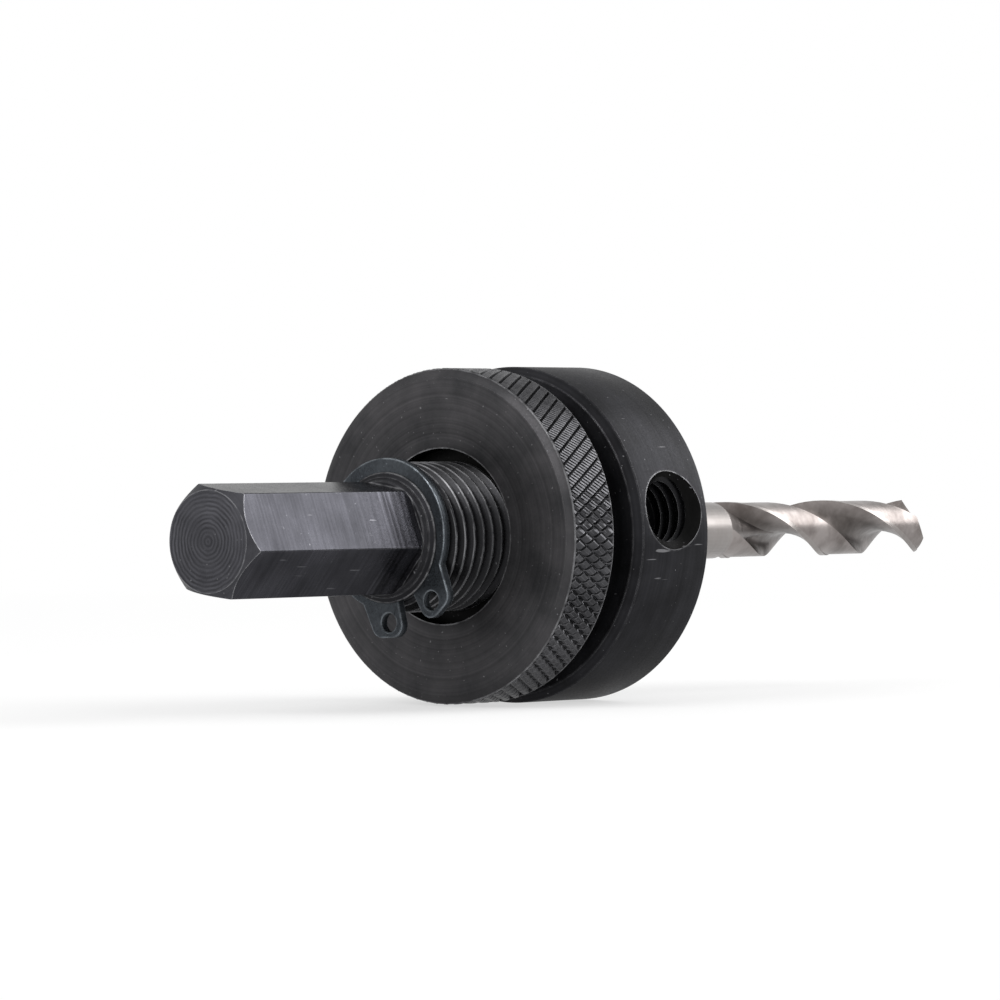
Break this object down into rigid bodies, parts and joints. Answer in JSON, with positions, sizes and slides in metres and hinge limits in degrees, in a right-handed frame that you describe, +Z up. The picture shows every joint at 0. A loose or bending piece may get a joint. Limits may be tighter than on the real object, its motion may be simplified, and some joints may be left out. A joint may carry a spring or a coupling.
{
  "type": "hole saw arbor",
  "caption": "Hole saw arbor: hexagonal shank, black flange with threaded nose, knurled nut that moves the drive pins, and a pilot drill held by a set screw.",
  "frame": {"origin": "centre of the flange's front face, where the base of a hole saw seats, on the arbor's axis", "axes": "+X along the arbor's axis from the hexagonal shank towards the pilot drill's point, +Z up as the arbor lies, -Y the side of the set screw"},
  "size_m": [0.1235, 0.0364, 0.0364],
  "materials": {
    "black_oxide_steel": "turned and milled, black oxide",
    "black_oxide_nut": "turned and knurled, black oxide",
    "spring_steel": "stamped spring steel, blue-black",
    "black_oxide_plate": "turned, black oxide",
    "ground_steel": "ground dowel",
    "black_oxide_screw": "black oxide set screw",
    "bright_drill_steel": "bright ground high-speed steel"
  },
  "bodies": {
    "arbor_body": {"mandrel": "black_oxide_steel", "stop_circlip": "spring_steel", "pilot_drill": "bright_drill_steel"},
    "pin_carrier": {"pin_plate": "black_oxide_plate", "drive_pin_1": "ground_steel", "drive_pin_2": "ground_steel"},
    "nut": {"knurled_nut": "black_oxide_nut", "plate_snap_ring": "spring_steel"},
    "clamp_screw": {"set_screw": "black_oxide_screw"}
  },
  "joints": [
    {"name": "pin_travel", "type": "slide", "parent": "arbor_body", "child": "pin_carrier", "axis": [1, 0, 0], "range_m": [-0.0079, 0.0033]},
    {"name": "nut_turn", "type": "hinge", "parent": "pin_carrier", "child": "nut", "pos_m": [-0.0198, 0, 0], "axis": [1, 0, 0], "range_deg": [-1896.5, 792.5]},
    {"name": "set_screw_travel", "type": "slide", "parent": "arbor_body", "child": "clamp_screw", "axis": [0, -0.9877, 0.1564], "range_m": [0, 0.005]}
  ],
  "couplings": [
    {"joint": "nut_turn", "follows": "pin_travel", "rad_per_m": 4188.8}
  ]
}
